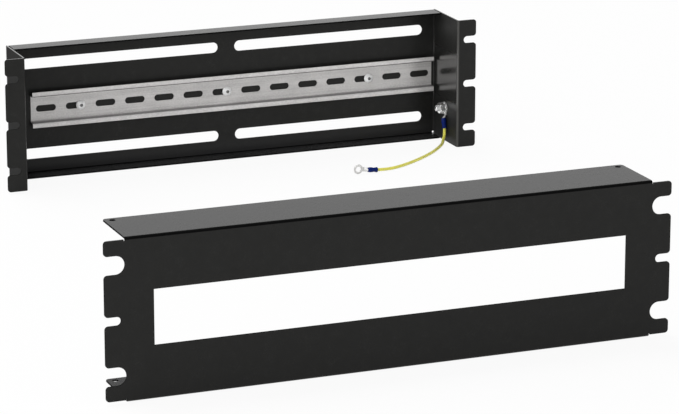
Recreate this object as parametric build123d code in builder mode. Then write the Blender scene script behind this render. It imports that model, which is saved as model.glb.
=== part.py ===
from build123d import *
import os
from math import asin, atan2, cos, degrees, hypot, pi, radians, sin, sqrt, tan

# Rack-mount DIN rail panel, three rack units high, in black powder-coated sheet.
# A folded chassis carries a 35 mm top-hat rail and an earth wire. The folded front cover is
# taken off and stands in front. Millimetres: X runs along the panel, Y points into the rack
# and Z up. The origin is at mid width, on the floor, in the plane of the ears' rear faces.

# Rack and sheet
panel_width = 482.6
rack_unit = 44.45
rack_units = 3
rack_gap = 1.35
sheet = 1.5
bend_inside = 1.0
ear_corner_radius = 3.0
slot_width = 7.0
slot_depth = 13.2

# Front cover, and where it stands. Its window takes as many device modules as fit.
cover_depth = 56.0
cover_overlap = 1.0
cover_gap = 0.2
module_width = 17.5
window_margin = 20.0
window_height = 45.0
head_slot_width = 15.0
head_slot_depth = 17.0
cover_hole_diameter = 5.0
cover_hole_end_distance = 6.5
cover_hole_edge_distance = 6.0
cover_corner_radius = 3.0
cover_notch_width = 0.8
cover_notch_depth = 0.6
cover_x = -106.8
cover_front_y = -628.4

# Chassis
ear_width = 18.3
chassis_depth = 60.0
flange_depth = 20.0
flange_end_gap = 1.0
relief_radius = 1.0
long_slot_height = 10.5
long_slot_bridge = 17.0
long_slot_margin = 13.0

# DIN rail, 35 x 7.5 top-hat section, and how far its ends are from the side walls
rail_width = 35.0
rail_depth = 7.5
rail_channel = 27.0
rail_sheet = 1.0
rail_bend_inside = 0.6
rail_left_gap = 21.25
rail_right_gap = 3.25
rail_slot_length = 20.0
rail_slot_width = 6.3
rail_slot_pitch = 30.0
rail_first_slot = 15.25

# Rail fixings, M5, in every fifth slot of the rail and off that slot's middle
screw_slot_step = 5
screw_slot_offset = 5.0
screw_diameter = 5.0
screw_length = 10.0
head_diameter = 9.5
head_height = 2.75
head_rim = 0.6
socket_flats = 3.0
socket_depth = 1.6
screw_hole_diameter = 5.5
rail_washer_diameter = 9.2
rail_washer_thickness = 1.2
split_width = 0.8
split_angle = 25
rail_nut_flats = 8.0
rail_nut_height = 4.0

# Nuts and tips: the nuts' bores clear the screws by thread_gap, and their outer corners are
# turned off at nut_turn_angle down to a circle that is nut_face_share of the flats
thread_gap = 0.05
tip_chamfer = 0.6
nut_turn_angle = 30
nut_face_share = 0.95

# Earth stud and what it clamps, M6
stud_diameter = 6.0
stud_length = 10.5
stud_y = 28.0
stud_z = 34.0
lock_washer_diameter = 11.8
lock_washer_bore = 6.2
lock_washer_thickness = 1.0
tooth_count = 10
tooth_height = 1.1
tooth_gap = 1.3
earth_nut_flats = 10.0
earth_nut_height = 5.0

# Crimped ring lugs and their insulating sleeves
lug_thickness = 0.8
lug_neck_width = 4.2
lug_neck_length = 4.0
lug_neck_flat = 1.0
lug_turn = 15.0
fixed_ring_diameter = 12.0
fixed_ring_hole = 6.4
free_ring_diameter = 9.5
free_ring_hole = 5.3
barrel_diameter = 3.4
sleeve_length = 10.5
sleeve_end_radius = 2.0
sleeve_bulge_radius = 2.5
sleeve_bulge_place = 3.2
sleeve_waist_radius = 2.0
sleeve_waist_place = 6.8
sleeve_mouth_radius = 2.6
sleeve_wall_gap = 0.2

# Earth wire, yellow, 1.5 square millimetres
wire_diameter = 3.0
wire_insertion = 3.0
wire_sleeve_gap = 0.1
fixed_lead = 4.5
free_lead = 8.5
free_ring_left = 129.9
free_ring_forward = 88.6
free_lug_heading = 6.0

# Worked out from the sizes above
bend_outside = bend_inside + sheet
bend_middle = bend_inside + sheet / 2
cover_height = rack_units * rack_unit - rack_gap
slot_row_span = (rack_units - 1) * rack_unit
chassis_height = cover_height - 2 * (sheet + cover_gap)
chassis_width = panel_width - 2 * ear_width
cover_flange_length = chassis_width + 2 * cover_overlap
window_length = (cover_flange_length - 2 * window_margin) // module_width * module_width
middle_z = chassis_height / 2
plate_rear = chassis_depth - sheet
plate_front = plate_rear - sheet
wall_inside = chassis_width / 2 - sheet
flange_half = wall_inside - flange_end_gap
long_slot_length = wall_inside - long_slot_margin - long_slot_bridge / 2
web_front = plate_front - rail_sheet
rail_left = rail_left_gap - wall_inside
rail_length = 2 * wall_inside - rail_left_gap - rail_right_gap
rail_slot_room = rail_length - rail_first_slot - rail_slot_length / 2
slot_places = [
    rail_left + rail_first_slot + i * rail_slot_pitch
    for i in range(int(rail_slot_room // rail_slot_pitch) + 1)
]
screw_places = [x + screw_slot_offset for x in slot_places[1::screw_slot_step]]

os.makedirs("parts", exist_ok=True)


def save(part, label):
    part.label = label
    export_step(part, f"parts/{label}.step")


def ear_edges(part):
    """The edges at both ends of a panel, where ears and slot mouths have round corners."""
    ends = part.edges().filter_by(Axis.Y).group_by(Axis.X)
    return ends[0] + ends[-1]


# The chassis is one folded sheet. Seen from above it is a tray: ear, side wall, back plate,
# side wall, ear. The top and bottom flanges fold forward from the plate between the walls.
with BuildPart() as chassis:
    with BuildSketch(Plane.XY):
        with BuildLine():
            ear_y = -sheet / 2
            wall_x = (chassis_width - sheet) / 2
            plate_y = plate_rear - sheet / 2
            FilletPolyline(
                (-panel_width / 2, ear_y),
                (-wall_x, ear_y),
                (-wall_x, plate_y),
                (wall_x, plate_y),
                (wall_x, ear_y),
                (panel_width / 2, ear_y),
                radius=bend_middle,
            )
        trace(line_width=sheet)
    extrude(amount=chassis_height)

    # The plate is cut back along the top and the bottom, where the flanges' folds begin.
    with BuildSketch(Plane.XZ.offset(-plate_rear)):
        for level in (0, chassis_height):
            with Locations((0, level)):
                Rectangle(2 * wall_inside, 2 * bend_outside)
    extrude(amount=bend_outside, mode=Mode.SUBTRACT)

    with BuildSketch(Plane.YZ.offset(-flange_half)):
        with BuildLine():
            flange_y = plate_rear - flange_depth
            FilletPolyline(
                (flange_y, sheet / 2),
                (plate_y, sheet / 2),
                (plate_y, chassis_height - sheet / 2),
                (flange_y, chassis_height - sheet / 2),
                radius=bend_middle,
            )
        trace(line_width=sheet)
    extrude(amount=2 * flange_half)

    # Round reliefs keep the corners from tearing where three folds meet.
    with BuildSketch(Plane.XZ.offset(-plate_rear)):
        with Locations((0, middle_z)):
            fold_height = chassis_height - 2 * bend_outside
            with GridLocations(2 * flange_half + flange_end_gap, fold_height, 2, 2):
                Circle(relief_radius)
    extrude(amount=bend_outside, mode=Mode.SUBTRACT)

    # Four long slots for cables, and the holes of the rail's screws.
    with BuildSketch(Plane.XZ.offset(-plate_rear)):
        with Locations((0, middle_z)):
            with GridLocations(long_slot_length + long_slot_bridge, slot_row_span, 2, 2):
                SlotOverall(long_slot_length, long_slot_height)
        with Locations(*[(x, middle_z) for x in screw_places]):
            Circle(screw_hole_diameter / 2)
    extrude(amount=sheet, mode=Mode.SUBTRACT)

    # Open slots in each ear, one for each rack unit.
    with BuildSketch(Plane.XZ):
        with Locations((0, middle_z)):
            with GridLocations(panel_width, rack_unit, 2, rack_units):
                SlotOverall(2 * slot_depth, slot_width)
    extrude(amount=sheet, mode=Mode.SUBTRACT)
    fillet(ear_edges(chassis.part), ear_corner_radius)
save(chassis.part, "chassis")


# The cover is one folded sheet too: a flat front with ears in its own plane, and a long
# flange folded back along the top and the bottom, which slide over the chassis.
cover_plane = Plane.XZ.offset(-cover_front_y - sheet)
with BuildPart() as cover:
    with BuildSketch(cover_plane):
        with Locations((cover_x, cover_height / 2)):
            Rectangle(panel_width, chassis_height)
        for level in (0, cover_height):
            with Locations((cover_x, level)):
                notch_width = cover_flange_length + 2 * cover_notch_width
                notch_height = 2 * (bend_outside + cover_notch_depth)
                Rectangle(notch_width, notch_height, mode=Mode.SUBTRACT)
    extrude(amount=sheet)

    with BuildSketch(Plane.YZ.offset(cover_x - cover_flange_length / 2)):
        with BuildLine():
            back_y = cover_front_y + cover_depth
            front_y = cover_front_y + sheet / 2
            FilletPolyline(
                (back_y, sheet / 2),
                (front_y, sheet / 2),
                (front_y, cover_height - sheet / 2),
                (back_y, cover_height - sheet / 2),
                radius=bend_middle,
            )
        trace(line_width=sheet)
    extrude(amount=cover_flange_length)

    # The window shows the fronts of the devices on the rail. The four large slots clear the
    # heads of the chassis's rack screws, and the two small ones take the cover's own.
    with BuildSketch(cover_plane):
        with Locations((cover_x, cover_height / 2)):
            Rectangle(window_length, window_height)
            with GridLocations(panel_width, slot_row_span, 2, 2):
                SlotOverall(2 * head_slot_depth, head_slot_width)
            with GridLocations(panel_width, 0, 2, 1):
                SlotOverall(2 * slot_depth, slot_width)
    extrude(amount=sheet, mode=Mode.SUBTRACT)
    fillet(ear_edges(cover.part), ear_corner_radius)

    flange_corners = cover.part.edges().filter_by(Axis.Z).group_by(Axis.Y)[-1]
    fillet(flange_corners, cover_corner_radius)

    hole_y = cover_front_y + cover_depth - cover_hole_edge_distance
    hole_span = cover_flange_length - 2 * cover_hole_end_distance
    with BuildSketch(Plane.XY):
        with Locations((cover_x, hole_y)):
            with GridLocations(hole_span, 0, 2, 1):
                Circle(cover_hole_diameter / 2)
    extrude(amount=cover_height, mode=Mode.SUBTRACT)
save(cover.part, "cover_panel")


# The rail is rolled from zinc-plated strip, with one row of slots along its web.
with BuildPart() as rail:
    with BuildSketch(Plane.YZ.offset(rail_left)):
        with BuildLine():
            lip_y = plate_front - rail_depth + rail_sheet / 2
            web_y = plate_front - rail_sheet / 2
            side_z = (rail_channel - rail_sheet) / 2
            FilletPolyline(
                (lip_y, middle_z - rail_width / 2),
                (lip_y, middle_z - side_z),
                (web_y, middle_z - side_z),
                (web_y, middle_z + side_z),
                (lip_y, middle_z + side_z),
                (lip_y, middle_z + rail_width / 2),
                radius=rail_bend_inside + rail_sheet / 2,
            )
        trace(line_width=rail_sheet)
    extrude(amount=rail_length)
    with BuildSketch(Plane.XZ.offset(-plate_front)):
        with Locations(*[(x, middle_z) for x in slot_places]):
            SlotOverall(rail_slot_length, rail_slot_width)
    extrude(amount=rail_sheet, mode=Mode.SUBTRACT)
save(rail.part, "din_rail")


def hexagon_nut(place, flats, height, thread):
    """A nut that stands on the place's origin, with the corners of its outer end turned."""
    corner_radius = flats / sqrt(3)
    turned = corner_radius - nut_face_share * flats / 2
    with BuildPart() as nut:
        with BuildSketch(place):
            Circle(corner_radius)
        extrude(amount=height)
        outer_face = nut.faces().sort_by(Axis(place.origin, place.z_dir))[-1]
        turned_depth = turned * tan(radians(nut_turn_angle))
        chamfer(outer_face.edge(), turned_depth, turned, reference=outer_face)
        with BuildSketch(place):
            RegularPolygon(radius=flats / 2, side_count=6, major_radius=False)
            Circle(thread / 2 + thread_gap, mode=Mode.SUBTRACT)
        extrude(amount=height, mode=Mode.INTERSECT)
    return nut.part


# Each rail fixing is a button-head screw from the front, and behind the plate a split
# spring washer and a hexagon nut.
for number, x in enumerate(screw_places, start=1):
    seat = Plane(origin=(x, web_front, middle_z), x_dir=(1, 0, 0), z_dir=(0, -1, 0))
    with BuildPart() as screw:
        with BuildSketch(seat):
            Circle(screw_diameter / 2)
        extrude(amount=-screw_length)
        chamfer(screw.edges().filter_by(GeomType.CIRCLE).sort_by(Axis.Y)[-1], tip_chamfer)
        with BuildSketch(Plane(origin=seat.origin, x_dir=(1, 0, 0), z_dir=(0, 0, 1))):
            with BuildLine():
                rim = (head_diameter / 2, -head_rim)
                Polyline((0, -head_height), (0, 0), (head_diameter / 2, 0), rim)
                TangentArc((0, -head_height), rim, tangent=(1, 0))
            make_face()
        revolve(axis=Axis(seat.origin, seat.z_dir))
        with BuildSketch(seat.offset(head_height)):
            RegularPolygon(radius=socket_flats / 2, side_count=6, major_radius=False)
        extrude(amount=-socket_depth, mode=Mode.SUBTRACT)
    save(screw.part, f"rail_screw_{number}")

    rear = Plane(origin=(x, plate_rear, middle_z), x_dir=(1, 0, 0), z_dir=(0, 1, 0))
    with BuildPart() as washer:
        with BuildSketch(rear):
            Circle(rail_washer_diameter / 2)
            Circle(screw_diameter / 2 + thread_gap, mode=Mode.SUBTRACT)
            with Locations(Location((0, rail_washer_diameter / 2), split_angle)):
                Rectangle(split_width, rail_washer_diameter, mode=Mode.SUBTRACT)
        extrude(amount=rail_washer_thickness)
    save(washer.part, f"rail_washer_{number}")

    nut_place = rear.offset(rail_washer_thickness)
    save(hexagon_nut(nut_place, rail_nut_flats, rail_nut_height, screw_diameter), f"rail_nut_{number}")


# The earth stud is welded to the right wall. It clamps the fixed ring lug under a toothed
# lock washer and a hexagon nut. The lug points down and a little forward.
lug_down = (0, -sin(radians(lug_turn)), -cos(radians(lug_turn)))
wall_place = Plane(origin=(wall_inside, stud_y, stud_z), x_dir=lug_down, z_dir=(-1, 0, 0))
with BuildPart() as stud:
    with BuildSketch(wall_place):
        Circle(stud_diameter / 2)
    extrude(amount=stud_length)
    chamfer(stud.edges().filter_by(GeomType.CIRCLE).sort_by(Axis.X)[0], tip_chamfer)
save(stud.part, "earth_stud")

with BuildPart() as lock_washer:
    with BuildSketch(wall_place.offset(lug_thickness)):
        Circle(lock_washer_diameter / 2)
        Circle(lock_washer_bore / 2, mode=Mode.SUBTRACT)
        with PolarLocations(lock_washer_diameter / 2, tooth_count):
            Rectangle(2 * tooth_height, tooth_gap, mode=Mode.SUBTRACT)
    extrude(amount=lock_washer_thickness)
save(lock_washer.part, "earth_lock_washer")

nut_place = wall_place.offset(lug_thickness + lock_washer_thickness)
save(hexagon_nut(nut_place, earth_nut_flats, earth_nut_height, stud_diameter), "earth_nut")


# A ring lug is stamped from tinned copper: a flat ring, a neck that rises, and a barrel that
# is crimped on the wire's strands inside the blue sleeve. A place has its origin at the
# ring's centre on the rear face, X along the lug to the wire, and Z to the barrel's side.
barrel_rise = sleeve_mouth_radius + sleeve_wall_gap


def sleeve_start(ring_diameter):
    return ring_diameter / 2 + lug_neck_length


def across(place, distance):
    """The plane across the lug, at a distance from the ring's centre."""
    return Plane(
        origin=place.origin + place.x_dir * distance,
        x_dir=place.y_dir,
        z_dir=place.x_dir,
    )


def ring_lug(place, ring_diameter, hole_diameter):
    flat_end = ring_diameter / 2 + lug_neck_flat
    start = sleeve_start(ring_diameter)
    with BuildPart() as lug:
        with BuildSketch(place):
            Circle(ring_diameter / 2)
            with Locations((flat_end / 2, 0)):
                Rectangle(flat_end, lug_neck_width)
            Circle(hole_diameter / 2, mode=Mode.SUBTRACT)
        extrude(amount=lug_thickness)
        with BuildSketch(across(place, flat_end)):
            with Locations((0, lug_thickness / 2)):
                Rectangle(lug_neck_width, lug_thickness)
        with BuildSketch(across(place, start)):
            with Locations((0, barrel_rise)):
                Circle(barrel_diameter / 2)
        loft(ruled=True)
        with BuildSketch(across(place, start)):
            with Locations((0, barrel_rise)):
                Circle(barrel_diameter / 2)
        extrude(amount=sleeve_length - wire_insertion)
    return lug.part


def sleeve(place, ring_diameter):
    start = place.origin + place.x_dir * sleeve_start(ring_diameter) + place.z_dir * barrel_rise
    half_section = Plane(origin=start, x_dir=place.x_dir, z_dir=-place.y_dir)
    barrel_end = sleeve_length - wire_insertion
    with BuildPart() as tube:
        with BuildSketch(half_section):
            with BuildLine():
                ThreePointArc(
                    (0, sleeve_end_radius),
                    (sleeve_bulge_place, sleeve_bulge_radius),
                    (sleeve_waist_place, sleeve_waist_radius),
                )
                Polyline(
                    (sleeve_waist_place, sleeve_waist_radius),
                    (sleeve_length, sleeve_mouth_radius),
                    (sleeve_length, wire_diameter / 2 + wire_sleeve_gap),
                    (barrel_end, wire_diameter / 2 + wire_sleeve_gap),
                    (barrel_end, barrel_diameter / 2),
                    (0, barrel_diameter / 2),
                    (0, sleeve_end_radius),
                )
            make_face()
        revolve(axis=Axis(start, place.x_dir))
    return tube.part


save(ring_lug(wall_place, fixed_ring_diameter, fixed_ring_hole), "lug_fixed")
save(sleeve(wall_place, fixed_ring_diameter), "sleeve_fixed")


# The free lug lies in front of the chassis. Its ring stands on edge and the mouth of its
# sleeve rests on the floor, so it leans by a few degrees.
free_reach = sleeve_start(free_ring_diameter) + sleeve_length
mouth_slope = atan2(sleeve_mouth_radius, free_reach)
lean = asin(free_ring_diameter / 2 / hypot(free_reach, sleeve_mouth_radius)) - mouth_slope
heading = radians(free_lug_heading)
free_along = Vector(cos(lean) * cos(heading), cos(lean) * sin(heading), -sin(lean))
free_place = Plane(
    origin=(wall_inside - free_ring_left, stud_y - free_ring_forward, free_ring_diameter / 2),
    x_dir=free_along,
    z_dir=free_along.cross(Vector(0, 0, 1)),
)
save(ring_lug(free_place, free_ring_diameter, free_ring_hole), "lug_free")
save(sleeve(free_place, free_ring_diameter), "sleeve_free")


def on_lug_axis(place, distance):
    return place.origin + place.x_dir * distance + place.z_dir * barrel_rise


# The wire leaves the fixed sleeve downwards, meets the floor, sweeps forward and to the
# left over it, and ends in the free lug's sleeve. Its points on the way are counted from
# the floor below the stud's foot.
floor_z = wire_diameter / 2
foot = Vector(wall_inside, stud_y, 0)
fixed_mouth = sleeve_start(fixed_ring_diameter) + sleeve_length
route = [
    on_lug_axis(wall_place, fixed_mouth - wire_insertion),
    on_lug_axis(wall_place, fixed_mouth + fixed_lead),
    foot + Vector(-6.2, -10.1, 3.4),
    foot + Vector(-9.9, -16.6, floor_z),
    foot + Vector(-18.0, -27.4, floor_z),
    foot + Vector(-33.1, -45.0, floor_z),
    foot + Vector(-58.4, -66.3, floor_z),
    foot + Vector(-84.7, -83.3, floor_z),
    on_lug_axis(free_place, free_reach + free_lead),
    on_lug_axis(free_place, free_reach - wire_insertion),
]


def tube_radii(points):
    """The largest even arc at each corner: 0.45 of its shorter run, over tan(half turn)."""
    runs = [end - start for start, end in zip(points, points[1:])]
    return [
        0.45 * min(before.length, after.length) / tan(radians(before.get_angle(after) / 2))
        for before, after in zip(runs, runs[1:])
    ]


radii = tube_radii(route)
with BuildPart() as wire:
    with BuildLine() as wire_path:
        FilletPolyline(*route, radius=radii)
    with BuildSketch(Plane(origin=wire_path.line @ 0, z_dir=wire_path.line % 0)):
        Circle(wire_diameter / 2)
    sweep()
save(wire.part, "earth_wire")

wire_length = sum(edge.length for edge in wire_path.edges())
wire_section = pi * wire_diameter**2 / 4
print("wire radii", [round(radius, 1) for radius in radii])
print("wire length", round(wire_length, 1))
print("wire volume over section times length", wire.part.volume / (wire_section * wire_length))
print("wire route", [tuple(round(value, 2) for value in point) for point in route])
print("lean of the free lug", round(degrees(lean), 2))
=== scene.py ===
from math import radians, tau

import bpy
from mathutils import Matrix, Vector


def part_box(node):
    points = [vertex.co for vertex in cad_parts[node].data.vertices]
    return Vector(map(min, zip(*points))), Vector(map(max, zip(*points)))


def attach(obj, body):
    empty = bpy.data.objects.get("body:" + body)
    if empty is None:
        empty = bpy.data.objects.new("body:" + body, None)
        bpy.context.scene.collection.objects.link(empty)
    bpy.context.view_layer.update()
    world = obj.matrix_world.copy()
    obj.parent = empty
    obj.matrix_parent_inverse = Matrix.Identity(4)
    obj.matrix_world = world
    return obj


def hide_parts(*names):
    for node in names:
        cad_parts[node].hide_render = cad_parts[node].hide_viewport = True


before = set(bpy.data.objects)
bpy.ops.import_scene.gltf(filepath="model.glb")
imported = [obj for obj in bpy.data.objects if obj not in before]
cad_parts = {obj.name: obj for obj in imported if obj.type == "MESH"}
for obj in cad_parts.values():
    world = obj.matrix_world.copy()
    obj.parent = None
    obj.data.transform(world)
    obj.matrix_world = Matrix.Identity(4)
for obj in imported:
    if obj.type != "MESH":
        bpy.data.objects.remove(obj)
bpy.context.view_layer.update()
bpy.ops.object.select_all(action="DESELECT")

# The camera stands to the left of the panel and a little above it, the way the product is
# pictured. A long lens keeps the perspective slight.
camera_place = (-1.09611, -2.97738, 0.83719)
camera_turn = (radians(74.553), 0, radians(-21.830))
camera_lens = 179.04
camera_sensor = 36
camera_reach = 50
bpy.ops.object.camera_add(location=camera_place, rotation=camera_turn)
camera = bpy.context.object
camera.name = "camera"
camera.data.sensor_width = camera_sensor
camera.data.lens = camera_lens
camera.data.clip_end = camera_reach
bpy.context.scene.camera = camera
bpy.context.scene.view_settings.view_transform = "Standard"


# The studio floor is a sheet of white paper that runs out of sight. The camera, metal and
# gloss see it as white, and it keeps a faint shadow of what stands on it.
def add_node(tree, kind, inputs, **settings):
    """A new node of a tree, with its settings, and its inputs given a value or a link."""
    node = tree.nodes.new(kind)
    for name, value in settings.items():
        setattr(node, name, value)
    for name, value in inputs.items():
        if isinstance(value, bpy.types.NodeSocket):
            tree.links.new(value, node.inputs[name])
        else:
            node.inputs[name].default_value = value
    return node


def worked_out(tree, operation, *values, **settings):
    """What a maths node makes of its values."""
    node = add_node(
        tree, "ShaderNodeMath", dict(enumerate(values)), operation=operation, **settings
    )
    return node.outputs[0]


floor_drop = 0.0002
floor_size = 40
paper_white = (0.82, 0.82, 0.82, 1)
paper_glow = 1.0
paper_glow_share = 0.93
bpy.ops.mesh.primitive_plane_add(size=floor_size, location=(0, 0, -floor_drop))
floor = bpy.context.object
floor.name = "floor"
paper = bpy.data.materials.new("white_paper")
paper.use_nodes = True
tree = paper.node_tree
tree.nodes.clear()
rays = add_node(tree, "ShaderNodeLightPath", {}).outputs
seen = worked_out(tree, "MAXIMUM", rays["Is Camera Ray"], rays["Is Glossy Ray"])
seen_or_through = worked_out(tree, "MAXIMUM", seen, rays["Is Transmission Ray"])
glow_share = worked_out(tree, "MULTIPLY", seen_or_through, paper_glow_share)
matt = add_node(tree, "ShaderNodeBsdfDiffuse", {"Color": paper_white})
glow = add_node(tree, "ShaderNodeEmission", {"Strength": paper_glow})
paper_face = add_node(
    tree, "ShaderNodeMixShader", {0: glow_share, 1: matt.outputs[0], 2: glow.outputs[0]}
)
add_node(tree, "ShaderNodeOutputMaterial", {"Surface": paper_face.outputs[0]})
floor.data.materials.append(paper)


# The room's walls are white near the horizon and fall off to a dim ceiling, so that faces
# that look up stay darker than the floor they stand on.
def stepped(tree, value, steps):
    """A colour ramp that goes through steps of a place and a colour."""
    fade = add_node(tree, "ShaderNodeValToRGB", {"Fac": value})
    stops = fade.color_ramp.elements
    stops[0].position, stops[0].color = steps[0]
    stops[1].position, stops[1].color = steps[-1]
    for position, colour in steps[1:-1]:
        stops.new(position).color = colour
    return fade.outputs["Color"]


wall_tones = (
    (0.0, (1, 1, 1, 1)),
    (0.24, (0.98, 0.98, 0.98, 1)),
    (0.34, (0.55, 0.55, 0.56, 1)),
    (0.75, (0.22, 0.22, 0.225, 1)),
)
world = bpy.data.worlds.new("studio")
bpy.context.scene.world = world
world.use_nodes = True
tree = world.node_tree
tree.nodes.clear()
around = add_node(tree, "ShaderNodeTexCoord", {}).outputs["Generated"]
height = add_node(tree, "ShaderNodeSeparateXYZ", {0: around}).outputs["Z"]
walls = add_node(tree, "ShaderNodeBackground", {"Color": stepped(tree, height, wall_tones)})
add_node(tree, "ShaderNodeOutputWorld", {"Surface": walls.outputs[0]})

# Two soft lamps light the panel: a far one from above in front, which lights the paper
# evenly, and a large square one on the left. They leave only a faint shadow.
far_place = (-1.0, -2.0, 3.0)
far_turn = (radians(-34), radians(-18), 0)
far_power = 2.3
far_spread = radians(50)
bpy.ops.object.light_add(type="SUN", location=far_place, rotation=far_turn)
far_lamp = bpy.context.object
far_lamp.name = "far_lamp"
far_lamp.data.energy = far_power
far_lamp.data.angle = far_spread
left_place = (-2.0, -0.7, 1.1)
left_turn = (0, radians(-62), 0)
left_size = 2.4
left_power = 27
bpy.ops.object.light_add(type="AREA", location=left_place, rotation=left_turn)
left_lamp = bpy.context.object
left_lamp.name = "left_lamp"
left_lamp.data.shape = "SQUARE"
left_lamp.data.size = left_size
left_lamp.data.energy = left_power


# The chassis is one sheet of steel, laser cut, folded into a tray with ears and flanges, and
# powder coated black. Painted highlights lighten the right ear's fold and the top's cut edges;
# painted shade darkens the other cut edges, the fold along the top of a front and the outside
# of the side walls, and painted light lifts the foot. The outside is dull, and the inside glossy by
# the rail.
def mixed(tree, mask, first, second):
    """One value, with another where the mask is."""
    node = add_node(tree, "ShaderNodeMix", {0: mask, 2: first, 3: second}, data_type="FLOAT")
    return node.outputs[0]


def tinted(tree, mask, colour, other):
    """One colour, with another where the mask is."""
    node = add_node(tree, "ShaderNodeMix", {0: mask, 6: colour, 7: other}, data_type="RGBA")
    return node.outputs[2]


def ramp(tree, value, start, full):
    """A mask that runs from nought at start to one at full."""
    mask = add_node(
        tree, "ShaderNodeMapRange", {"Value": value, "From Min": start, "From Max": full}
    )
    return mask.outputs[0]


def swung(tree, noise, quiet, loud, low, high):
    """Noise between quiet and loud, spread out from low to high."""
    limits = {"From Min": quiet, "From Max": loud, "To Min": low, "To Max": high}
    return add_node(tree, "ShaderNodeMapRange", {"Value": noise, **limits}).outputs[0]


def new_group(name, inputs, outputs):
    """An empty shader node group with its sockets, and what its input node gives."""
    group = bpy.data.node_groups.new(name, "ShaderNodeTree")
    for socket, kind in inputs.items():
        group.interface.new_socket(socket, in_out="INPUT", socket_type=kind)
    for socket in outputs:
        group.interface.new_socket(socket, in_out="OUTPUT", socket_type="NodeSocketFloat")
    return group, group.nodes.new("NodeGroupInput").outputs


def grain_group():
    """Fine grain over slow clouds: a tone about one, a roughness and a height."""
    group, given = new_group(
        "surface_grain",
        {
            "Place": "NodeSocketVector",
            "Grain": "NodeSocketFloat",
            "Contrast": "NodeSocketFloat",
            "Roughness": "NodeSocketFloat",
            "Roughness Spread": "NodeSocketFloat",
        },
        ("Tone", "Roughness", "Height"),
    )
    cloud_share = 0.35
    cloud_scale = 0.08
    cloud_detail = 2.0
    fine_detail = 3.0
    fine_breakup = 0.6
    quiet = 0.35
    loud = 0.65
    coarse = worked_out(group, "MULTIPLY", given["Grain"], cloud_scale)
    fine = add_node(
        group,
        "ShaderNodeTexNoise",
        {
            "Vector": given["Place"],
            "Scale": given["Grain"],
            "Detail": fine_detail,
            "Roughness": fine_breakup,
        },
    ).outputs["Fac"]
    clouds = add_node(
        group,
        "ShaderNodeTexNoise",
        {"Vector": given["Place"], "Scale": coarse, "Detail": cloud_detail},
    ).outputs["Fac"]
    swing = swung(group, mixed(group, cloud_share, fine, clouds), quiet, loud, -1.0, 1.0)
    tone = worked_out(group, "MULTIPLY_ADD", swing, given["Contrast"], 1.0)
    roughness = worked_out(
        group,
        "MULTIPLY_ADD",
        swing,
        given["Roughness Spread"],
        given["Roughness"],
        use_clamp=True,
    )
    add_node(group, "NodeGroupOutput", {"Tone": tone, "Roughness": roughness, "Height": fine})
    return group


def bend_group():
    """One on a bend between two of the sides that Across names, nought on flat faces."""
    group, given = new_group(
        "sheet_bend",
        {
            "Normal": "NodeSocketVector",
            "Across": "NodeSocketVector",
            "Start": "NodeSocketFloat",
            "Full": "NodeSocketFloat",
        },
        ("Bend",),
    )
    chosen = add_node(
        group, "ShaderNodeVectorMath", {0: given["Normal"], 1: given["Across"]}, operation="MULTIPLY"
    ).outputs[0]
    sizes = add_node(group, "ShaderNodeVectorMath", {0: chosen}, operation="ABSOLUTE").outputs[0]
    sides = add_node(group, "ShaderNodeSeparateXYZ", {0: sizes}).outputs
    across = worked_out(group, "ADD", sides["X"], sides["Z"])
    both = worked_out(group, "MULTIPLY", across, sides["Y"])
    bend = ramp(group, both, given["Start"], given["Full"])
    add_node(group, "NodeGroupOutput", {"Bend": bend})
    return group


surface_grain = grain_group()
sheet_bend = bend_group()


def grained_material(
    name, colour, metallic, grain, contrast, roughness, spread, depth, stretch=(1, 1, 1)
):
    """A material whose colour, roughness and relief follow the surface grain."""
    material = bpy.data.materials.new(name)
    material.use_nodes = True
    tree = material.node_tree
    shader = tree.nodes["Principled BSDF"].inputs
    shader["Metallic"].default_value = metallic
    here = add_node(tree, "ShaderNodeTexCoord", {}).outputs["Object"]
    place = add_node(tree, "ShaderNodeMapping", {"Vector": here, "Scale": stretch}).outputs[0]
    surface = add_node(tree, "ShaderNodeGroup", {}, node_tree=surface_grain)
    tree.links.new(place, surface.inputs["Place"])
    surface.inputs["Grain"].default_value = grain
    surface.inputs["Contrast"].default_value = contrast
    surface.inputs["Roughness"].default_value = roughness
    surface.inputs["Roughness Spread"].default_value = spread
    toned = add_node(
        tree, "ShaderNodeVectorMath", {0: colour, "Scale": surface.outputs["Tone"]}, operation="SCALE"
    )
    relief = add_node(
        tree, "ShaderNodeBump", {"Height": surface.outputs["Height"], "Distance": depth}
    )
    tree.links.new(toned.outputs[0], shader["Base Color"])
    tree.links.new(surface.outputs["Roughness"], shader["Roughness"])
    tree.links.new(relief.outputs[0], shader["Normal"])
    return material


def placed(tree):
    """Where a point lies on the panel and the way it faces, each as X, Y and Z."""
    given = add_node(tree, "ShaderNodeTexCoord", {}).outputs
    spot = add_node(tree, "ShaderNodeSeparateXYZ", {0: given["Object"]}).outputs
    turned = add_node(tree, "ShaderNodeSeparateXYZ", {0: given["Normal"]}).outputs
    return given, spot, turned


def product(tree, first, second):
    """Two values multiplied."""
    return worked_out(tree, "MULTIPLY", first, second)


def bend_mask(tree, normal, across, start, full):
    """One on the bends between the named sides."""
    bend = add_node(tree, "ShaderNodeGroup", {}, node_tree=sheet_bend)
    tree.links.new(normal, bend.inputs["Normal"])
    bend.inputs["Across"].default_value = across
    bend.inputs["Start"].default_value = start
    bend.inputs["Full"].default_value = full
    return bend.outputs["Bend"]


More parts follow.
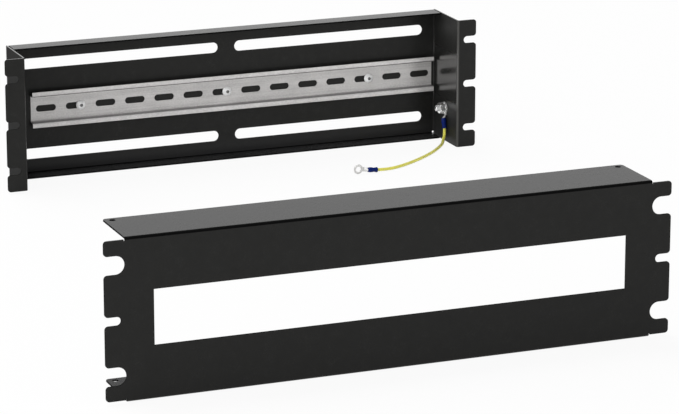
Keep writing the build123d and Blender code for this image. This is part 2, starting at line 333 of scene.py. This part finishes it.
def powder_coat(name, coat_black, outside_painted_shade, top_gloss):
    """Black powder coat on folded sheet, with painted light and shade on folds, edges and walls, and
    dull and glossy parts.
    """
    coat = grained_material(
        name,
        colour=coat_black,
        metallic=0,
        grain=1400,
        contrast=0.12,
        roughness=0.26,
        spread=0.02,
        depth=0.000007,
    )
    tree = coat.node_tree
    shader = tree.nodes["Principled BSDF"].inputs
    shader["Specular IOR Level"].default_value = 0.12
    shader["Coat Roughness"].default_value = 0.2
    shader["Coat IOR"].default_value = 2.0
    given, spot, turned = placed(tree)

    # The side walls are dull, and painted shade makes their outside darker.
    # Their turn along X times their place tells outside from inside.
    outside_reach = (0.12, 0.2)
    outside_roughness = 0.8
    inside_reach = (-0.12, -0.2)
    inside_roughness = 0.45
    outward = product(tree, turned["X"], spot["X"])
    outside = ramp(tree, outward, *outside_reach)
    inside = ramp(tree, outward, *inside_reach)

    # The upper side of the top flange is glossier.
    level_turn = (0.9, 0.98)
    top_height = (0.12, 0.125)
    upward = ramp(tree, turned["Z"], *level_turn)
    top = product(tree, upward, ramp(tree, spot["Z"], *top_height))

    # Painted light: the bottom flange and the foot of the back plate, which stand in shade, are
    # painted a little lighter.
    foot_height = (0.02, 0.006)
    foot_depth = (0.03, 0.036)
    foot_painted_light = (0.032, 0.032, 0.032, 1)
    foot = product(tree, ramp(tree, spot["Z"], *foot_height), ramp(tree, spot["Y"], *foot_depth))

    # Beside the ends of the rail the walls are glossy inside, and mirror it.
    rail_bottom = (0.036, 0.046)
    rail_top = (0.104, 0.09)
    by_rail_roughness = 0.2
    rail_band = product(tree, ramp(tree, spot["Z"], *rail_bottom), ramp(tree, spot["Z"], *rail_top))
    by_rail = product(tree, rail_band, inside)

    # Painted shade makes the cut edges dark, and they are dull; a painted highlight makes them
    # lighter where they look up along the top.
    edge_painted_shade = (0.003, 0.003, 0.003, 1)
    edge_roughness = 1.0
    top_edge_painted_highlight = (0.1, 0.1, 0.098, 1)
    top_edge_gloss = 0.43
    cut_edge = add_node(tree, "ShaderNodeAttribute", {}, attribute_name="cut_edge").outputs["Fac"]
    painted_shade_edge = product(tree, cut_edge, worked_out(tree, "SUBTRACT", 1.0, top))
    top_edge = product(tree, cut_edge, top)

    # A painted highlight makes the right ear's fold lighter.
    front_depth = (0.03, 0.01)
    right_half = (0.0, 0.05)
    upright_turn = (0.15, 0.45)
    fold_painted_highlight = (0.085, 0.084, 0.08, 1)
    upright = bend_mask(tree, given["Normal"], (1, 1, 0), *upright_turn)
    right_front = product(
        tree, ramp(tree, spot["Y"], *front_depth), ramp(tree, spot["X"], *right_half)
    )
    right_fold = product(tree, upright, right_front)

    # Painted shade makes the fold along the top of a front dark, and it is dull.
    rising = (0.1, 0.2)
    frontward = (-0.1, -0.2)
    level_fold_turn = (0.08, 0.25)
    top_fold_painted_shade = (0.002, 0.002, 0.002, 1)
    top_fold_roughness = 1.0
    level_fold = bend_mask(tree, given["Normal"], (0, 1, 1), *level_fold_turn)
    top_front = product(tree, ramp(tree, turned["Z"], *rising), ramp(tree, turned["Y"], *frontward))
    top_fold = product(tree, level_fold, top_front)

    colour = shader["Base Color"].links[0].from_socket
    # Painted light and shade: each mask lays its painted tone over the coat's own black.
    for mask, other in (
        (foot, foot_painted_light),
        (outside, (*outside_painted_shade, 1)),
        (right_fold, fold_painted_highlight),
        (painted_shade_edge, edge_painted_shade),
        (top_edge, top_edge_painted_highlight),
        (top_fold, top_fold_painted_shade),
    ):
        colour = tinted(tree, mask, colour, other)
    tree.links.new(colour, shader["Base Color"])

    roughness = shader["Roughness"].links[0].from_socket
    for mask, other in (
        (outside, outside_roughness),
        (inside, inside_roughness),
        (by_rail, by_rail_roughness),
        (painted_shade_edge, edge_roughness),
        (top_fold, top_fold_roughness),
    ):
        roughness = mixed(tree, mask, roughness, other)
    tree.links.new(roughness, shader["Roughness"])

    gloss = by_rail
    for mask, weight in ((top, top_gloss), (top_edge, top_edge_gloss)):
        gloss = worked_out(tree, "MULTIPLY_ADD", mask, weight, gloss)
    tree.links.new(gloss, shader["Coat Weight"])
    return coat


def edit_all(piece):
    """Edit mode on one piece alone, with all of it selected."""
    bpy.ops.object.select_all(action="DESELECT")
    bpy.context.view_layer.objects.active = piece
    piece.select_set(True)
    bpy.ops.object.mode_set(mode="EDIT")
    bpy.ops.mesh.select_all(action="SELECT")


def finished_copy(node_name, piece_name, material, edge_radius):
    """The node's own solid as a finished piece, with whole faces and softened edges."""
    weld = 1e-6
    flat_turn = radians(0.5)
    edge_turn = radians(35)
    edge_steps = 2
    smooth_turn = radians(30)
    piece = bpy.data.objects.new(piece_name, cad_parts[node_name].data.copy())
    piece.data.name = piece_name
    bpy.context.scene.collection.objects.link(piece)
    piece.data.materials.clear()
    piece.data.materials.append(material)
    edit_all(piece)
    bpy.ops.mesh.remove_doubles(threshold=weld)
    bpy.ops.mesh.dissolve_limited(angle_limit=flat_turn)
    bpy.ops.object.mode_set(mode="OBJECT")
    softened = piece.modifiers.new("softened_edges", "BEVEL")
    softened.width = edge_radius
    softened.segments = edge_steps
    softened.limit_method = "ANGLE"
    softened.angle_limit = edge_turn
    softened.use_clamp_overlap = False
    bpy.ops.object.modifier_apply(modifier=softened.name)
    edit_all(piece)
    bpy.ops.mesh.dissolve_degenerate(threshold=weld)
    bpy.ops.object.mode_set(mode="OBJECT")
    bpy.ops.object.shade_smooth_by_angle(angle=smooth_turn)
    flattened = piece.modifiers.new("flat_faces", "WEIGHTED_NORMAL")
    flattened.keep_sharp = True
    bpy.ops.object.modifier_apply(modifier=flattened.name)
    return piece


def mark_cut_edges(piece, thickest):
    """Marks the faces that have more steel behind them than the sheet is thick."""
    just_inside = 0.00001
    bpy.context.view_layer.update()
    piece.data.calc_loop_triangles()
    largest = {}
    for triangle in piece.data.loop_triangles:
        face = triangle.polygon_index
        if face not in largest or triangle.area > largest[face].area:
            largest[face] = triangle
    mark = piece.data.attributes.new("cut_edge", "FLOAT", "FACE")
    for face, triangle in largest.items():
        inward = -piece.data.polygons[face].normal
        start = triangle.center + inward * just_inside
        struck, place, _, _ = piece.ray_cast(start, inward)
        mark.data[face].value = 1.0 if struck and (place - start).length > thickest else 0.0


def hand_over(piece, node_name):
    """The piece rides on the panel in the place of its node."""
    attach(piece, "root")
    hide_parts(node_name)


sheet_edge = 0.00018
sheet_thickest = 0.0025
chassis_coat = powder_coat(
    "chassis_black_coat",
    coat_black=(0.021, 0.021, 0.0198),
    outside_painted_shade=(0.0095, 0.0095, 0.0091),
    top_gloss=0.33,
)
chassis = finished_copy("chassis", "coated_chassis", chassis_coat, sheet_edge)
mark_cut_edges(chassis, sheet_thickest)
hand_over(chassis, "chassis")

# The cover is a second sheet in the same coat, with a window for the devices and a flange
# folded back along the top and the bottom. It slides over the chassis, and is shown off it.
cover_coat = powder_coat(
    "cover_black_coat",
    coat_black=(0.019, 0.019, 0.0179),
    outside_painted_shade=(0.003, 0.003, 0.003),
    top_gloss=0.13,
)
cover = finished_copy("cover_panel", "coated_cover", cover_coat, sheet_edge)
mark_cut_edges(cover, sheet_thickest)
hand_over(cover, "cover_panel")


# The rail is rolled from zinc-plated strip, then slotted. Rolling leaves fine lines along it.
# Painted highlights brighten the lips and lines beside the bends, and painted shade darkens
# each bend. The plating has a fine crystalline speckle.
def grey(tone):
    """A grey as a colour."""
    return (tone, tone, tone, 1)


def raised(tree, mask, amount):
    """One, and more by the amount where the mask is."""
    return worked_out(tree, "MULTIPLY_ADD", mask, amount, 1.0)


rolled_zinc = grained_material(
    "rolled_zinc",
    colour=(0.6, 0.586, 0.576),
    metallic=0.28,
    grain=1000,
    contrast=0.17,
    roughness=0.2,
    spread=0.06,
    depth=0.00001,
    stretch=(0.6, 1, 1),
)
tree = rolled_zinc.node_tree
shader = tree.nodes["Principled BSDF"].inputs
speckled = shader["Base Color"].links[0].from_socket
given, spot, turned = placed(tree)

line_stretch = (0.01, 1, 1)
line_scale = 900.0
line_detail = 2.0
line_quiet = 0.3
line_loud = 0.7
line_dim = 0.92
line_bright = 1.08
drawn = add_node(tree, "ShaderNodeMapping", {"Vector": given["Object"], "Scale": line_stretch})
lines = add_node(
    tree,
    "ShaderNodeTexNoise",
    {"Vector": drawn.outputs[0], "Scale": line_scale, "Detail": line_detail},
)
line_tone = swung(tree, lines.outputs["Fac"], line_quiet, line_loud, line_dim, line_bright)

# Painted light and shade on the channel: each step goes by how far a face of the rail's
# channel turns: nought faces down, a half faces the front, and one faces up.
lip_painted_tones = (
    (0.0, grey(0.35)),
    (0.3, grey(0.4)),
    (0.44, grey(1.05)),
    (0.5, grey(1.0)),
    (0.58, grey(1.3)),
    (0.7, grey(1.25)),
    (0.86, grey(0.7)),
    (0.97, grey(0.36)),
)
web_painted_tones = (
    (0.0, grey(0.6)),
    (0.45, grey(1.0)),
    (0.55, grey(0.97)),
    (0.9, grey(0.95)),
    (0.99, grey(0.65)),
)
web_depth = (0.003, 0.005)
channel_edge = (0.0146, 0.0142)
rail_low, rail_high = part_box("din_rail")
rail_middle = (rail_low.z + rail_high.z) / 2
behind_front = worked_out(tree, "SUBTRACT", spot["Y"], rail_low.y)
off_middle = worked_out(tree, "SUBTRACT", spot["Z"], rail_middle)
from_middle = worked_out(tree, "ABSOLUTE", off_middle)
rise = worked_out(tree, "MULTIPLY_ADD", turned["Z"], 0.5, 0.5)
bend_painted_tone = tinted(
    tree,
    ramp(tree, behind_front, *web_depth),
    stepped(tree, rise, lip_painted_tones),
    stepped(tree, rise, web_painted_tones),
)
channel_painted_tone = tinted(tree, ramp(tree, from_middle, *channel_edge), grey(1), bend_painted_tone)

# A painted highlight runs along the web beside each of its bends, and painted light makes the
# flat lips bright.
inner_side = (0.0105, 0.0112)
outer_side = (0.0122, 0.0118)
beside_bend_painted_highlight = 0.25
beside_bend = product(
    tree, ramp(tree, from_middle, *inner_side), ramp(tree, from_middle, *outer_side)
)
lip_start = (0.0140, 0.0144)
lip_depth = (0.002, 0.001)
lip_painted_light = 0.16
on_lip = product(tree, ramp(tree, from_middle, *lip_start), ramp(tree, behind_front, *lip_depth))
strip_painted_light = product(tree, raised(tree, on_lip, lip_painted_light), raised(tree, beside_bend, beside_bend_painted_highlight))
bends_painted = add_node(
    tree, "ShaderNodeVectorMath", {0: speckled, 1: channel_painted_tone}, operation="MULTIPLY"
)
lined = add_node(
    tree,
    "ShaderNodeVectorMath",
    {0: bends_painted.outputs[0], "Scale": product(tree, line_tone, strip_painted_light)},
    operation="SCALE",
)
tree.links.new(lined.outputs[0], shader["Base Color"])
rail_edge = 0.00012
rail = finished_copy("din_rail", "rolled_rail", rolled_zinc, rail_edge)
hand_over(rail, "din_rail")


# Three button-head screws hold the rail, each with a spring washer and a hexagon nut behind
# the back plate. They are steel with bright zinc plating, and the threads are rolled.
def thinned_shank(piece, axis, middle, reach, crest, root):
    """The plain shank goes down to the root of its thread, where the reach says it is."""
    inner_share = 0.5
    outer_share = 1.05
    edit_all(piece)
    bpy.ops.mesh.select_all(action="DESELECT")
    bpy.ops.object.mode_set(mode="OBJECT")
    sides = [side for side in range(3) if side != axis]
    for corner in piece.data.vertices:
        away = sum((corner.co[side] - middle[side]) ** 2 for side in sides) ** 0.5
        on_shank = crest * inner_share < away < crest * outer_share
        corner.select = on_shank and reach[0] < corner.co[axis] < reach[1]
    bpy.ops.object.mode_set(mode="EDIT")
    shrink = [root / crest] * 3
    shrink[axis] = 1
    bpy.ops.transform.resize(value=shrink, center_override=middle)
    bpy.ops.object.mode_set(mode="OBJECT")


def thread_ridge(start, turn, crest, root, pitch, turns):
    """The ridge of a thread: a narrow band wound round the shank's core, closed at its ends."""
    sunk_share = 0.94
    foot_share = 0.82
    crest_share = 0.16
    steps_a_turn = 28
    smooth_turn = radians(40)
    sunk = root * sunk_share
    bpy.ops.object.select_all(action="DESELECT")
    bpy.ops.mesh.primitive_plane_add(size=1, location=(0, 0, 0), rotation=(radians(90), 0, 0))
    ridge = bpy.context.object
    bpy.ops.object.transform_apply(location=False, rotation=True, scale=True)
    edit_all(ridge)
    bpy.ops.transform.resize(value=(crest - sunk, 1, pitch * foot_share))
    bpy.ops.transform.translate(value=((crest + sunk) / 2, 0, 0))
    bpy.ops.mesh.select_all(action="DESELECT")
    bpy.ops.object.mode_set(mode="OBJECT")
    for corner in ridge.data.vertices:
        corner.select = corner.co.x > root
    bpy.ops.object.mode_set(mode="EDIT")
    bpy.ops.transform.resize(value=(1, 1, crest_share))
    bpy.ops.mesh.select_all(action="SELECT")
    bpy.ops.mesh.delete(type="ONLY_FACE")
    bpy.ops.object.mode_set(mode="OBJECT")
    wound = ridge.modifiers.new("wound", "SCREW")
    wound.angle = tau
    wound.screw_offset = pitch
    wound.iterations = turns
    wound.steps = wound.render_steps = steps_a_turn
    bpy.ops.object.modifier_apply(modifier=wound.name)
    edit_all(ridge)
    bpy.ops.mesh.select_all(action="DESELECT")
    bpy.ops.mesh.select_non_manifold(extend=False)
    bpy.ops.mesh.fill_holes(sides=4)
    bpy.ops.mesh.select_all(action="SELECT")
    bpy.ops.mesh.normals_make_consistent(inside=False)
    bpy.ops.object.mode_set(mode="OBJECT")
    ridge.rotation_euler = turn
    ridge.location = start
    bpy.ops.object.transform_apply(location=True, rotation=True, scale=True)
    bpy.ops.object.shade_smooth_by_angle(angle=smooth_turn)
    return ridge


def threaded(piece, ridge):
    """The ridge becomes part of its screw or stud."""
    bpy.ops.object.select_all(action="DESELECT")
    ridge.select_set(True)
    piece.select_set(True)
    bpy.context.view_layer.objects.active = piece
    bpy.ops.object.join()
    return piece


def plated_zinc(name, metallic):
    """Bright zinc plating on turned or pressed steel, with painted shade down in a socket."""
    plating = grained_material(
        name,
        colour=(0.97, 0.97, 0.965),
        metallic=metallic,
        grain=3000,
        contrast=0.06,
        roughness=0.22,
        spread=0.05,
        depth=0.000008,
    )
    # Painted shade: the socket's faces are painted a darker grey.
    socket_painted_shade = (0.14, 0.14, 0.14, 1)
    tree = plating.node_tree
    shader = tree.nodes["Principled BSDF"].inputs
    shader["Specular IOR Level"].default_value = 1.0
    socket = add_node(tree, "ShaderNodeAttribute", {}, attribute_name="socket").outputs["Fac"]
    colour = shader["Base Color"].links[0].from_socket
    tree.links.new(tinted(tree, socket, colour, socket_painted_shade), shader["Base Color"])
    return plating


def mark_socket(screw, middle, reach, front):
    """Marks the faces of the hexagon socket, which lie round the middle behind the front."""
    deepest = 0.0026
    largest_face = 0.00002
    mark = screw.data.attributes.new("socket", "FLOAT", "FACE")
    for face in screw.data.polygons:
        away = ((face.center.x - middle.x) ** 2 + (face.center.z - middle.z) ** 2) ** 0.5
        behind = front < face.center.y < front + deepest
        in_socket = away < reach and behind and face.area < largest_face
        mark.data[face.index].value = 1.0 if in_socket else 0.0


screw_zinc = plated_zinc("screw_zinc", 0.05)
stud_zinc = plated_zinc("stud_zinc", 0.9)
hardware_edge = 0.00012
screw_radius = 0.0025
screw_root = 0.00212
screw_pitch = 0.0008
screw_turns = 9
screw_thread_length = 0.0101
screw_tip_gap = 0.0004
socket_reach = 0.00185
socket_front = 0.0001
past_end = 0.001
for number in (1, 2, 3):
    node_name = f"rail_screw_{number}"
    low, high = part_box(node_name)
    middle = (low + high) / 2
    screw = finished_copy(node_name, f"button_screw_{number}", screw_zinc, hardware_edge)
    mark_socket(screw, middle, socket_reach, low.y + socket_front)
    shank = (high.y - screw_thread_length, high.y + past_end)
    thinned_shank(screw, 1, middle, shank, screw_radius, screw_root)
    start = (middle.x, high.y - screw_tip_gap, middle.z)
    turn = (radians(90), 0, 0)
    ridge = thread_ridge(start, turn, screw_radius, screw_root, screw_pitch, screw_turns)
    hand_over(threaded(screw, ridge), node_name)
    for kind, full_name in (("washer", "spring_washer"), ("nut", "hexagon_nut")):
        fixing_node = f"rail_{kind}_{number}"
        fixing = finished_copy(fixing_node, f"{full_name}_{number}", screw_zinc, hardware_edge)
        hand_over(fixing, fixing_node)

# The earth stud is welded to the right wall. A toothed washer bites through the coat under
# the lug, and a hexagon nut clamps the lug. All three have the same bright zinc plating.
stud_radius = 0.003
stud_root = 0.00252
stud_pitch = 0.001
stud_turns = 7
stud_tip_gap = 0.0006
low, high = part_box("earth_stud")
middle = (low + high) / 2
stud = finished_copy("earth_stud", "threaded_stud", stud_zinc, hardware_edge)
shank = (low.x - past_end, high.x + past_end)
thinned_shank(stud, 0, middle, shank, stud_radius, stud_root)
start = (low.x + stud_tip_gap, middle.y, middle.z)
turn = (0, radians(90), 0)
ridge = thread_ridge(start, turn, stud_radius, stud_root, stud_pitch, stud_turns)
hand_over(threaded(stud, ridge), "earth_stud")
for node_name, piece_name in (("earth_lock_washer", "toothed_washer"), ("earth_nut", "stud_nut")):
    piece = finished_copy(node_name, piece_name, stud_zinc, hardware_edge)
    hand_over(piece, node_name)

# The two ring lugs are stamped from copper sheet, rolled into a barrel behind the ring and
# tinned. One is clamped on the stud, and the other is free for the next earth point.
tin = grained_material(
    "tin",
    colour=(0.72, 0.715, 0.7),
    metallic=0.45,
    grain=2600,
    contrast=0.06,
    roughness=0.3,
    spread=0.07,
    depth=0.00001,
)
lug_edge = 0.00012
fixed_lug = finished_copy("lug_fixed", "tinned_lug_fixed", tin, lug_edge)
hand_over(fixed_lug, "lug_fixed")
free_lug = finished_copy("lug_free", "tinned_lug_free", tin, lug_edge)
hand_over(free_lug, "lug_free")

# Each lug has a sleeve of blue vinyl tube over its barrel. The crimping tool has pressed a
# waist into it.
blue_vinyl = grained_material(
    "blue_vinyl",
    colour=(0.004, 0.018, 0.16),
    metallic=0,
    grain=2200,
    contrast=0.12,
    roughness=0.25,
    spread=0.05,
    depth=0.00002,
)
blue_vinyl.node_tree.nodes["Principled BSDF"].inputs["Specular IOR Level"].default_value = 0.08
sleeve_edge = 0.00015
fixed_sleeve = finished_copy("sleeve_fixed", "blue_sleeve_fixed", blue_vinyl, sleeve_edge)
hand_over(fixed_sleeve, "sleeve_fixed")
free_sleeve = finished_copy("sleeve_free", "blue_sleeve_free", blue_vinyl, sleeve_edge)
hand_over(free_sleeve, "sleeve_free")

# The earth wire is stranded copper in soft yellow vinyl. It leaves the fixed sleeve
# downwards, meets the floor, sweeps forward and to the left, and ends in the free sleeve.
wire_diameter = 0.003
wire_order = 3
steps_a_span = 24
wire_roundness = 8
wire_route = (
    (0.21870, 0.02347, 0.01710),
    (0.21870, 0.02153, 0.00985),
    (0.21530, 0.01790, 0.00340),
    (0.21160, 0.01140, 0.00150),
    (0.20350, 0.00060, 0.00150),
    (0.18840, -0.01700, 0.00150),
    (0.16310, -0.03830, 0.00150),
    (0.13680, -0.05530, 0.00150),
    (0.11932, -0.06050, 0.00163),
    (0.10795, -0.06170, 0.00292),
)
yellow_vinyl = grained_material(
    "yellow_vinyl",
    colour=(0.98, 0.93, 0.13),
    metallic=0,
    grain=2600,
    contrast=0.05,
    roughness=0.34,
    spread=0.05,
    depth=0.00002,
)
shader = yellow_vinyl.node_tree.nodes["Principled BSDF"].inputs
shader["Sheen Weight"].default_value = 0.8
shader["Sheen Roughness"].default_value = 0.4
shader["Sheen Tint"].default_value = (1.0, 1.0, 0.7, 1)

# Each point of the curve carries the wire's radius, on a bevel of one unit.
curve = bpy.data.curves.new("yellow_wire", "CURVE")
curve.dimensions = "3D"
curve.resolution_u = steps_a_span
curve.bevel_depth = 1
curve.bevel_resolution = wire_roundness
curve.use_fill_caps = True
spline = curve.splines.new("NURBS")
spline.points.add(len(wire_route) - 1)
for point, place in zip(spline.points, wire_route):
    point.co = (*place, 1)
    point.radius = wire_diameter / 2
spline.order_u = wire_order
spline.use_endpoint_u = True
wire = bpy.data.objects.new("yellow_wire", curve)
bpy.context.scene.collection.objects.link(wire)
wire.data.materials.append(yellow_vinyl)
hand_over(wire, "earth_wire")
